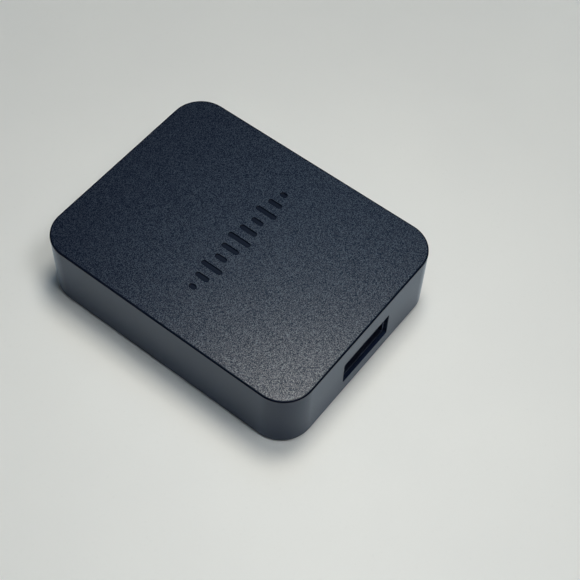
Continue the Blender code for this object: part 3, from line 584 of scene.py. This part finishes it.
def new_mesh(name, shape):
    """A mesh from a bmesh, with doubled points merged and its faces turned outward."""
    bmesh.ops.remove_doubles(shape, verts=shape.verts, dist=DOUBLED)
    bmesh.ops.dissolve_degenerate(shape, edges=shape.edges, dist=THIN)
    bmesh.ops.recalc_face_normals(shape, faces=shape.faces)
    mesh = bpy.data.meshes.new(name)
    shape.to_mesh(mesh)
    shape.free()
    return mesh


def new_piece(name, shape):
    """A mesh object, linked to the scene at the origin."""
    piece = bpy.data.objects.new(name, new_mesh(name, shape))
    bpy.context.scene.collection.objects.link(piece)
    return piece


def combine(piece, operation, shape):
    """Cut a shape from a piece, or unite it with the piece, and keep the result as its mesh."""
    tool = new_piece("tool", shape)
    modifier = piece.modifiers.new("combine", "BOOLEAN")
    modifier.operation = operation
    modifier.object = tool
    modifier.solver = "EXACT"
    bpy.context.view_layer.update()
    result = bpy.data.meshes.new_from_object(piece.evaluated_get(bpy.context.evaluated_depsgraph_get()))
    piece.modifiers.clear()
    piece.data = result
    result.name = piece.name
    bpy.data.objects.remove(tool, do_unlink=True)


def cut(piece, shape):
    """Cut a shape out of a piece."""
    combine(piece, "DIFFERENCE", shape)


def unite(piece, shape):
    """Add a shape to a piece."""
    combine(piece, "UNION", shape)


def dress(piece, node, materials=None, chooser=None):
    """Finish a piece: smooth it, give it its materials, and let it stand for its CAD node.

    Without materials it takes that of the node's slot. chooser(face) gives a face's material.
    """
    mesh = piece.data
    mesh.shade_smooth()
    mesh.set_sharp_from_angle(angle=SHARP)
    mesh.materials.clear()
    for material in materials or [MATERIALS[SLOT_OF[node]]]:
        mesh.materials.append(material)
    for face in mesh.polygons:
        face.material_index = chooser(face) if chooser else 0
    normals = piece.modifiers.new("even normals", "WEIGHTED_NORMAL")
    normals.keep_sharp = True
    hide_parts(node)
    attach(piece, BODY_OF[node])


def dress_cad_nodes():
    """Give every CAD node the material of its slot."""
    for node, item in frame["nodes"].items():
        item.data.materials.clear()
        item.data.materials.append(MATERIALS[SLOT_OF[node]])


# ------------------------------------------------------------------------- the housing

SHELL_LOW, SHELL_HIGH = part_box("top_shell")
WIDTH, DEPTH = SHELL_HIGH.x - SHELL_LOW.x, SHELL_HIGH.y - SHELL_LOW.y
TOP, BASE = SHELL_HIGH.z, SHELL_LOW.z
FRONT, BACK = SHELL_LOW.y, SHELL_HIGH.y
CORNER_RADIUS = mm(6.2)
CORNER_STEPS = 28
WALL = mm(1.8)
TOP_EDGE = mm(0.32)
BOTTOM_EDGE = mm(0.2)
CEILING_EDGE = mm(0.4)
RIM_EDGE = mm(0.1)
GAP = mm(0.3)                              # between mouldings that don't touch
WELD = mm(0.2)                             # how far joined shapes run into each other
CEILING = TOP - WALL
PLATE_TOP = BASE + mm(1.5)
BOARD_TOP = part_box("main_pcb")[1].z

CASE_SCREWS = [middle(f"case_screw_{number}").xy for number in range(1, 5)]
BOARD_SCREWS = [middle(f"pcb_screw_{number}").xy for number in range(1, 3)]
# places of the screws, radius of their bosses and of the bores in them, and level of the face below
SEATS = (
    (CASE_SCREWS, mm(2.9), mm(1.3), PLATE_TOP),
    (BOARD_SCREWS, mm(2.3), mm(1.2), BOARD_TOP),
)
BORE_END = mm(10.5)                        # level of the upper end of the bores
RIB = mm(1.2)
RIB_START = mm(1.7)                        # from the middle of its boss
RIB_LIFT = mm(1.0)                         # above the board

USB_HEIGHT = mm(5.7)                       # of the USB-A can, without its legs
USB_OPENING = (mm(13.3), mm(6.0), mm(0.35))     # width, height and corner radius
USB_MOUTH = mm(0.12)                       # rounding of the opening's mouth
OPENING_DEPTH = WALL + mm(0.5)
# what shows in each opening of the back wall, its outline round a centre, and the rounding of its mouth
BACK_OPENINGS = (
    ("audio_jack_body", lambda centre: circle_at(mm(2.7), centre), mm(0.2)),
    ("micro_usb_shell", lambda centre: rectangle_at(mm(8.1), mm(3.1), mm(0.6), 8, centre), mm(0.2)),
    ("pair_button", lambda centre: oblong_at(mm(6.6), mm(3.4), 16, centre), mm(0.15)),
    ("light_pipe", lambda centre: circle_at(mm(1.0), centre, 32), mm(0.1)),
)

MARK_LENGTHS = [mm(v) for v in (1.6, 3.0, 4.6, 2.6, 3.8, 5.0, 3.8, 2.6, 4.6, 3.0, 1.6)]
MARK_PITCH = mm(2.6)
MARK_BAR = mm(1.1)
MARK_DEPTH = mm(0.25)
MARK_MOUTH = mm(0.04)
MARK_FLOOR = mm(0.06)
MARK_REACH = (mm(16.0), mm(4.0))           # the mark lies within this of the roof's middle
FLAT = 0.999                               # a face of the flat roof points up by more than this,
UPRIGHT = 0.01                             # and a wall by less than this
ROOF_SLACK, MARK_SLACK = mm(0.001), mm(0.01)    # how far below its level a face still counts
OUTER_BAND = mm(0.5)                       # the edge round the roof lies within this of the outside


def shell_ring(inset, level):
    """The housing's outline, moved in from the outside by an inset."""
    outline = rounded_outline(WIDTH - 2 * inset, DEPTH - 2 * inset, CORNER_RADIUS - inset, CORNER_STEPS)
    return ring(outline, level)


def shell_body():
    """Roof and walls: one skin from the ceiling, down the inside, round the rim and up over the roof."""
    rings = [shell_ring(WALL + CEILING_EDGE * sine, CEILING - CEILING_EDGE * cosine)
             for cosine, sine in arc()]
    rings += [shell_ring(WALL - RIM_EDGE * cosine, BASE + RIM_EDGE * sine) for cosine, sine in arc(3)]
    rings += [shell_ring(BOTTOM_EDGE * sine, BASE + BOTTOM_EDGE * cosine) for cosine, sine in arc(8)]
    rings += [shell_ring(TOP_EDGE * cosine, TOP - TOP_EDGE * sine) for cosine, sine in arc(8)]
    shape = bmesh.new()
    loft(shape, rings)
    return shape


def add_bosses(shell):
    """Bosses from the roof down to the plate and to the board."""
    bosses = bmesh.new()
    for places, radius, _, seat in SEATS:
        for place in places:
            loft(bosses, [ring(circle(radius, place, 48), level) for level in (seat + GAP, CEILING + WELD)])
    unite(shell, bosses)


def add_ribs(shell):
    """Ribs under the roof, from every boss to the side wall and from the case's bosses to the end wall."""
    for along, places in ((0, CASE_SCREWS + BOARD_SCREWS), (1, CASE_SCREWS)):
        ribs = bmesh.new()
        reach = (WIDTH, DEPTH)[along] / 2 - WALL + WELD
        for place in places:
            low, high = list(place), list(place)
            low[1 - along] -= RIB / 2
            high[1 - along] += RIB / 2
            side = math.copysign(1.0, place[along])
            low[along], high[along] = sorted((place[along] + side * RIB_START, side * reach))
            add_box(ribs, (*low, BOARD_TOP + RIB_LIFT), (*high, CEILING + WELD))
        unite(shell, ribs)


def cut_bores(shell):
    """Bores up the bosses, for the screws."""
    bores = bmesh.new()
    for places, _, radius, seat in SEATS:
        for place in places:
            loft(bores, [ring(circle(radius, place, 32), level) for level in (seat - PAST, BORE_END)])
    cut(shell, bores)


def cut_openings(shell):
    """The openings in the end walls."""
    openings = bmesh.new()
    centre = (middle("usb_a_shell").x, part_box("usb_a_shell")[1].z - USB_HEIGHT / 2)
    add_opening(openings, rectangle_at(*USB_OPENING, 6, centre), FRONT, 1, OPENING_DEPTH, USB_MOUTH, "Y")
    for node, outline_round, mouth in BACK_OPENINGS:
        centre = (middle(node).x, middle(node).z)
        add_opening(openings, outline_round(centre), BACK, -1, OPENING_DEPTH, mouth, "Y")
    cut(shell, openings)


def cut_mark(shell):
    """The row of sunk bars in the roof."""
    mark = bmesh.new()
    first = -MARK_PITCH * (len(MARK_LENGTHS) - 1) / 2
    for number, length in enumerate(MARK_LENGTHS):
        centre = (first + number * MARK_PITCH, 0.0)
        bar = oblong_at(MARK_BAR - 2 * MARK_MOUTH, length - 2 * MARK_MOUTH, 12, centre)
        add_opening(mark, bar, TOP, -1, MARK_DEPTH, MARK_MOUTH, "Z", floor=MARK_FLOOR)
    cut(shell, mark)


def shell_look(face):
    """The look of a face of the shell: 0 wall, 1 roof, 2 dark edge, 3 mark."""
    x, y, z = face.center
    up = face.normal.z
    if up > FLAT and z > TOP - ROOF_SLACK:
        return 1
    in_mark = abs(x) < MARK_REACH[0] and abs(y) < MARK_REACH[1]
    if in_mark and z > TOP - MARK_DEPTH - MARK_SLACK and up > -UPRIGHT:
        return 3
    outside = max(abs(x) - WIDTH / 2, abs(y) - DEPTH / 2) > -OUTER_BAND
    if z > TOP - TOP_EDGE and (outside or up > UPRIGHT):
        return 2
    return 0


def make_shell():
    """The upper shell, with bosses and ribs inside, openings in its end walls and the mark in its roof."""
    shell = new_piece("shell_moulding", shell_body())
    add_bosses(shell)
    add_ribs(shell)
    cut_bores(shell)
    cut_openings(shell)
    cut_mark(shell)
    looks = [MATERIALS["shell_plastic"], roof_material(), edge_material(), mark_material()]
    dress(shell, "top_shell", looks, shell_look)


# ------------------------------------------------------------------- plate, feet, screws

PLATE_CORNER = mm(4.1)
PLATE_EDGE = mm(0.15)
PADS = [(x, y) for x in (mm(-14.5), mm(14.5)) for y in (mm(-13.0), mm(13.0))]
PAD_RADIUS = mm(1.5)
SCREW_HOLE = mm(1.3)
# radius and depth of each round pocket in the plate, and the rounding of its mouth
SCREW_POCKET = (mm(2.25), mm(0.9), mm(0.12))
FOOT_POCKET = (mm(4.3), mm(0.5), mm(0.12))
BOARD_SCREW_POCKET = (mm(2.3), mm(0.55), mm(0.1))
LABEL_POCKET = (mm(22.6), mm(13.6), mm(1.3))    # width, height and corner radius
LABEL_POCKET_DEPTH = mm(0.35)
LABEL_POCKET_MOUTH = mm(0.1)
LABEL_CORNER = mm(1.0)
LABEL_EDGE = mm(0.04)

FOOT_CUP = mm(0.08)                        # depth of the cup under a foot
FOOT_LIP = mm(1.6)                         # from its side to the inside of the ring that it stands on
FOOT_SLOPE = ((mm(0.5), 1.0), (mm(0.2), 0.6))   # inward of the ring, and share of the cup's depth
FOOT_SOFT = mm(0.3)                        # rounding of its lower edge
FOOT_EDGE = mm(0.08)
FOOT_HUB = mm(0.2)                         # radius of the facet in its middle

SCREWS = (("case_screw", 4, mm(0.7)), ("pcb_screw", 2, mm(0.8)))      # node, how many, height of head
CREST = 0.5                                # radius of the thread over that of the head
CORE = 0.78                                # radius of the shank over that of the thread
PITCH = mm(0.7)
RIDGE_SLOPE = 2.6                          # fall of the thread's ridge in a turn, over its height
ROWS_A_TURN = 8
HEAD_PROFILE = ((0.70, 0.0), (0.84, mm(0.04)), (0.95, mm(0.13)), (1.0, mm(0.28)))   # share of radius, level
HEAD_EDGE = mm(0.06)
TIP_PROFILE = ((0.7, 0.4), (0.25, 0.0))    # share of the shank's radius, and of the thread's from the end
RECESS_ARM, RECESS_HALF = 0.52, 0.10       # shares of the head's radius
RECESS_DEPTH = 0.6                         # share of the head's height
RECESS_MOUTH, RECESS_LEAD_IN = mm(0.05), mm(0.06)     # how far its mouth widens, and over what depth
RECESS_TAPER = 0.05                        # how far its floor narrows, as a share of the head's radius
RECESS_TURN = math.radians(20)


def make_plate():
    """The plate under the housing, with pockets for feet, screws and label."""
    low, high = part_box("bottom_plate")
    outline_at = rectangle_at(high.x - low.x, high.y - low.y, PLATE_CORNER, 20)
    shape = bmesh.new()
    add_block(shape, outline_at, BASE, PLATE_TOP, PLATE_EDGE)
    plate = new_piece("plate_moulding", shape)
    pads = bmesh.new()
    for place in PADS:
        loft(pads, [ring(circle(PAD_RADIUS, place, 32), level) for level in (PLATE_TOP - WELD, high.z)])
    unite(plate, pads)
    holes = bmesh.new()
    for place in CASE_SCREWS:
        loft(holes, [ring(circle(SCREW_HOLE, place, 32), level) for level in (BASE, PLATE_TOP + PAST)])
    cut(plate, holes)
    pockets = bmesh.new()
    for place in CASE_SCREWS:
        add_pocket(pockets, place, SCREW_POCKET, BASE, 1)
    for number in range(1, 5):
        add_pocket(pockets, middle(f"foot_{number}").xy, FOOT_POCKET, BASE, 1, 96)
    label_at = rectangle_at(*LABEL_POCKET, 10)
    add_opening(pockets, label_at, BASE, 1, LABEL_POCKET_DEPTH, LABEL_POCKET_MOUTH, "Z")
    for place in BOARD_SCREWS:
        add_pocket(pockets, place, BOARD_SCREW_POCKET, PLATE_TOP, -1, 48)
    cut(plate, pockets)
    dress(plate, "bottom_plate")


def make_feet():
    """Rubber feet with a soft lower edge and a shallow cup, so that each stands on a ring."""
    for number in range(1, 5):
        node = f"foot_{number}"
        low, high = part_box(node)
        radius, height = (high.x - low.x) / 2, high.z - low.z
        inner = radius - FOOT_LIP
        profile = [(FOOT_HUB, FOOT_CUP)]
        profile += [(inner - inward, FOOT_CUP * share) for inward, share in FOOT_SLOPE]
        profile.append((inner, 0.0))
        profile += [(radius - FOOT_SOFT * sine, FOOT_SOFT * cosine) for cosine, sine in arc(6)]
        profile += [(radius, height - FOOT_EDGE), (radius - FOOT_EDGE, height), (FOOT_HUB, height)]
        shape = bmesh.new()
        loft(shape, turned_rings(profile, 96))
        bmesh.ops.translate(shape, verts=shape.verts, vec=(*middle(node).xy, low.z))
        dress(new_piece(f"rubber_foot_{number}", shape), node)


def make_screws():
    """Pan-head screws with a rolled thread and a tapered cross recess."""
    for name, count, head_height in SCREWS:
        for number in range(1, count + 1):
            make_screw(f"{name}_{number}", head_height)


def make_screw(node, head_height):
    """One screw, its head down. The thread is a helical wave in the radius of its shank."""
    low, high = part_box(node)
    place = (*middle(node).xy, low.z)
    head, length = (high.x - low.x) / 2, high.z - low.z
    crest = head * CREST
    core = crest * CORE
    tip = length - crest

    def radius_at(radius, height, angle):
        if not head_height + PITCH / 2 < height < tip:
            return radius
        phase = (height / PITCH - angle / math.tau) % 1.0
        fade = min(1.0, (tip - height) / PITCH, (height - head_height) / PITCH)
        return radius + (crest - core) * fade * max(0.0, 1.0 - RIDGE_SLOPE * abs(phase - 0.5))

    profile = [(head * share, level) for share, level in HEAD_PROFILE]
    profile += [(head, head_height - HEAD_EDGE), (head - HEAD_EDGE, head_height), (core, head_height)]
    rows = round((tip - head_height) / PITCH * ROWS_A_TURN)
    profile += [(core, head_height + (tip - head_height) * row / rows) for row in range(1, rows + 1)]
    profile += [(core * share, length - crest * back) for share, back in TIP_PROFILE]
    shape = bmesh.new()
    loft(shape, turned_rings(profile, 32, radius_at))
    bmesh.ops.translate(shape, verts=shape.verts, vec=place)
    screw = new_piece(f"{node}_threaded", shape)
    recess = bmesh.new()
    outline_at = cross_at(head * RECESS_ARM, head * RECESS_HALF)
    floor = (-head * RECESS_TAPER, head_height * RECESS_DEPTH)
    stations = ((RECESS_MOUTH, -PAST), (RECESS_MOUTH, 0.0), (0.0, RECESS_LEAD_IN), floor)
    loft(recess, [ring(outline_at(grow), height) for grow, height in stations])
    bmesh.ops.rotate(recess, verts=recess.verts, matrix=Matrix.Rotation(RECESS_TURN, 3, "Z"))
    bmesh.ops.translate(recess, verts=recess.verts, vec=place)
    cut(screw, recess)
    dress(screw, node)


def make_label():
    """The blank label, with soft edges."""
    low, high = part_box("rating_label")
    shape = bmesh.new()
    outline_at = rectangle_at(high.x - low.x, high.y - low.y, LABEL_CORNER, 12)
    add_block(shape, outline_at, low.z, high.z, LABEL_EDGE, steps=3)
    dress(new_piece("blank_label", shape), "rating_label")


# ---------------------------------------------------------- sockets, button, light pipe

USB_SHEET = mm(0.3)
USB_CORNER = mm(0.5)
USB_LEGS = (mm(4.3), mm(10.1))             # from the mouth to the middle of each pair of legs
USB_LEG_HALF = mm(0.9)
USB_TAILS = (mm(5.2), mm(2.9), mm(0.5))    # half width, length and height of the contacts' way out

JACK_SHOULDER = BACK - mm(2.4)             # where its body ends and its nose starts
JACK_NOSE, JACK_BORE = mm(2.5), mm(1.85)   # radii
JACK_CORNER, JACK_EDGE = mm(0.3), mm(0.15)
JACK_NOSE_EDGE = mm(0.2)
JACK_LEAD_IN = mm(0.3)
JACK_END = mm(1.2)                         # what is left behind the bore
WAY_START = mm(1.48)                       # of a contact's slot, from the middle of the jack
WAY_HALF_LENGTH, WAY_HALF_HEIGHT = mm(1.1), mm(0.45)

INLET_SHEET = mm(0.25)
INLET_SLANT = mm(1.0)                      # size of its cut corners
INLET_CORNER = mm(0.35)

FLANGE_FRONT = BACK - WALL - GAP           # of the button and of the light pipe
CAP_WIDTH, CAP_HEIGHT = mm(6.0), mm(2.8)
CAP_EDGE = mm(0.25)
CAP_DOME = mm(0.06)
CAP_CROWN = mm(1.3)                        # from the cap's outline to the innermost ring of its dome
CAP_ROOT = mm(0.4)                         # how far the cap runs into its flange
FLANGE_CORNER, FLANGE_EDGE = mm(0.8), mm(0.1)

PIPE_RADIUS = mm(0.8)
PIPE_EDGE = mm(0.05)
PIPE_FLANGE = mm(0.4)                      # breadth
PIPE_FLANGE_DEPTH = mm(0.7)
LENS = mm(0.22)                            # height of its dome
LENS_TURN = math.radians(88)               # from the dome's foot to the facet at its top


def make_usb_socket():
    """The USB-A socket's can, with a rolled lip at its mouth and legs through the board."""
    low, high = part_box("usb_a_shell")
    width = high.x - low.x
    centre = ((low.x + high.x) / 2, high.z - USB_HEIGHT / 2)
    shape = bmesh.new()
    add_can(shape, rectangle_at(width, USB_HEIGHT, USB_CORNER, 8, centre), low.y, high.y, USB_SHEET, 10)
    can = new_piece("usb_a_can", shape)
    floor = centre[1] - USB_HEIGHT / 2
    legs = bmesh.new()
    half = USB_SHEET / 2
    for side in (-1, 1):
        x = centre[0] + side * (width / 2 - half)
        for y in (low.y + leg for leg in USB_LEGS):
            add_box(legs, (x - half, y - USB_LEG_HALF, low.z), (x + half, y + USB_LEG_HALF, floor + PAST))
    unite(can, legs)
    way_out = bmesh.new()
    across, length, height = USB_TAILS
    add_box(way_out, (-across, high.y - length, floor - PAST), (across, high.y + PAST, floor + height))
    cut(can, way_out)
    dress(can, "usb_a_shell")


def make_audio_jack():
    """The jack's moulding: a body with eased edges, a round nose and a bore with a lead-in."""
    low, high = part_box("audio_jack_body")
    centre = ((low.x + high.x) / 2, (low.z + high.z) / 2)
    width, height = high.x - low.x, high.z - low.z
    shape = bmesh.new()
    body_at = rectangle_at(width, height, JACK_CORNER, 4, centre)
    add_block(shape, body_at, low.y, JACK_SHOULDER, JACK_EDGE, "Y")
    jack = new_piece("audio_jack_moulding", shape)
    nose = bmesh.new()
    start = JACK_SHOULDER - WELD - JACK_NOSE_EDGE
    add_block(nose, circle_at(JACK_NOSE, centre), start, high.y, JACK_NOSE_EDGE, "Y")
    unite(jack, nose)
    bore = bmesh.new()
    reach = high.y - low.y - JACK_END
    add_opening(bore, circle_at(JACK_BORE, centre), high.y, -1, reach, JACK_LEAD_IN, "Y")
    cut(jack, bore)
    ways = bmesh.new()
    for contact in ("sleeve", "ring", "tip"):
        strip = middle(f"audio_jack_{contact}_contact")
        side = math.copysign(1.0, strip.x - centre[0])
        start, end = sorted((centre[0] + side * WAY_START, centre[0] + side * (width / 2 + PAST)))
        add_box(ways, (start, strip.y - WAY_HALF_LENGTH, centre[1] - WAY_HALF_HEIGHT),
                (end, strip.y + WAY_HALF_LENGTH, centre[1] + WAY_HALF_HEIGHT))
    cut(jack, ways)
    dress(jack, "audio_jack_body")


def make_power_inlet():
    """The micro-USB can: sheet metal with cut lower corners and a rolled lip at its mouth."""
    low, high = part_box("micro_usb_shell")

    def outline_at(grow):
        points = [
            (high.x + grow, high.z + grow), (low.x - grow, high.z + grow),
            (low.x - grow, low.z + INLET_SLANT), (low.x + INLET_SLANT, low.z - grow),
            (high.x - INLET_SLANT, low.z - grow), (high.x + grow, low.z + INLET_SLANT),
        ]
        return rounded_polygon(points, INLET_CORNER)

    shape = bmesh.new()
    add_can(shape, outline_at, high.y, low.y, INLET_SHEET, 8)
    dress(new_piece("micro_usb_can", shape), "micro_usb_shell")


def make_pair_button():
    """The pairing button: a softly domed oblong cap on its flange."""
    low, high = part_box("pair_button")
    centre = ((low.x + high.x) / 2, (low.z + high.z) / 2)
    cap_at = oblong_at(CAP_WIDTH, CAP_HEIGHT, 16, centre)
    rings = [ring(cap_at(0.0), FLANGE_FRONT - CAP_ROOT, "Y")]
    rings += [ring(cap_at(-CAP_EDGE * cosine), high.y - CAP_DOME - CAP_EDGE * sine, "Y")
              for cosine, sine in arc(6)]
    for share in (0.25, 0.5, 0.75, 1.0):
        inset = CAP_EDGE + (CAP_CROWN - CAP_EDGE) * share
        rings.append(ring(cap_at(-inset), high.y - CAP_DOME * (1 - share) ** 2, "Y"))
    shape = bmesh.new()
    loft(shape, rings)
    button = new_piece("pair_button_cap", shape)
    flange = bmesh.new()
    flange_at = rectangle_at(high.x - low.x, high.z - low.z, FLANGE_CORNER, 8, centre)
    add_block(flange, flange_at, low.y, FLANGE_FRONT, FLANGE_EDGE, "Y")
    unite(button, flange)
    dress(button, "pair_button")


def make_light_pipe():
    """The light pipe, with a lens at its outer end."""
    low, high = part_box("light_pipe")
    front, wide = FLANGE_FRONT, PIPE_RADIUS + PIPE_FLANGE
    rear = front - PIPE_FLANGE_DEPTH
    profile = [(PIPE_EDGE, low.y), (PIPE_RADIUS - PIPE_EDGE, low.y), (PIPE_RADIUS, low.y + PIPE_EDGE)]
    profile += [(PIPE_RADIUS, rear), (wide - PIPE_EDGE, rear), (wide, rear + PIPE_EDGE)]
    profile += [(wide, front - PIPE_EDGE), (wide - PIPE_EDGE, front), (PIPE_RADIUS, front)]
    for step in range(9):
        angle = LENS_TURN * step / 8
        profile.append((PIPE_RADIUS * math.cos(angle), high.y - LENS * (1 - math.sin(angle))))
    shape = bmesh.new()
    loft(shape, turned_rings(profile, 48))
    centre = middle("light_pipe")
    place = Matrix.Translation((centre.x, 0.0, centre.z)) @ Matrix.Rotation(math.radians(-90), 4, "X")
    bmesh.ops.transform(shape, verts=shape.verts, matrix=place)
    dress(new_piece("light_pipe_lens", shape), "light_pipe")


# ---------------------------------------------------------------------------- the table

FLOOR_RADIUS = mm(1500.0)
FLOOR_TONES = ((0.775, 0.79, 0.77), (0.80, 0.815, 0.79))
FLOOR_SPECK = (0.70, 0.72, 0.70)
SPECK_BAND = (0.62, 0.75)                  # noise where a speck starts and where it is whole
SPECK_STRENGTH = 0.25
FLOOR_CLOUD = mm(30.0)
FLOOR_GRAIN = mm(0.7)
FLOOR_RELIEF = mm(0.01)
FLOOR_ROUGHNESS = 0.55
# distance from the receiver as a share of the floor's radius, and how far the cove's glow
# makes up for the lamps
GLOW = ((0.06, 0.0), (0.12, 0.60), (0.18, 0.86), (0.28, 0.95), (1.0, 0.99))


def make_floor():
    """The plain pale table top, faintly mottled. Far from the receiver it glows like a lit studio cove."""
    shape = bmesh.new()
    bmesh.ops.create_circle(shape, cap_ends=True, segments=96, radius=FLOOR_RADIUS)
    floor = new_piece("table_top", shape)
    look = Material("table_top")
    cloud = look.noise(FLOOR_CLOUD, detail=4.0)
    fine = look.noise(FLOOR_GRAIN, detail=3.0)
    tone = look.blend(look.swing(cloud, 0.0, 1.0), *FLOOR_TONES)
    tone = look.blend(look.spread(fine, *SPECK_BAND, 0.0, SPECK_STRENGTH), tone, FLOOR_SPECK)
    away = look.add("ShaderNodeVectorMath", operation="LENGTH")
    look.feed(away, Vector=look.place)
    ramp = look.add("ShaderNodeValToRGB")
    ramp.color_ramp.interpolation = "B_SPLINE"
    for _ in GLOW[2:]:                     # a new ramp has two stops
        ramp.color_ramp.elements.new(0.5)
    for stop, (share, level) in zip(ramp.color_ramp.elements, GLOW):
        stop.position, stop.color = share, (level, level, level, 1.0)
    look.links.new(look.spread(away.outputs["Value"], 0.0, FLOOR_RADIUS, 0.0, 1.0), ramp.inputs[0])
    material = look.shade(
        Base_Color=tone, Roughness=FLOOR_ROUGHNESS, Normal=look.bump(fine, FLOOR_RELIEF),
        Emission_Color=(*BACKDROP, 1.0), Emission_Strength=ramp.outputs[0],
    )
    floor.data.materials.append(material)


# --------------------------------------------------------------------------- everything


bpy.context.scene.view_settings.view_transform = "Standard"
make_camera()
make_lamps()
make_world()
dress_cad_nodes()
make_shell()
make_plate()
make_feet()
make_screws()
make_label()
make_usb_socket()
make_audio_jack()
make_power_inlet()
make_pair_button()
make_light_pipe()
make_floor()
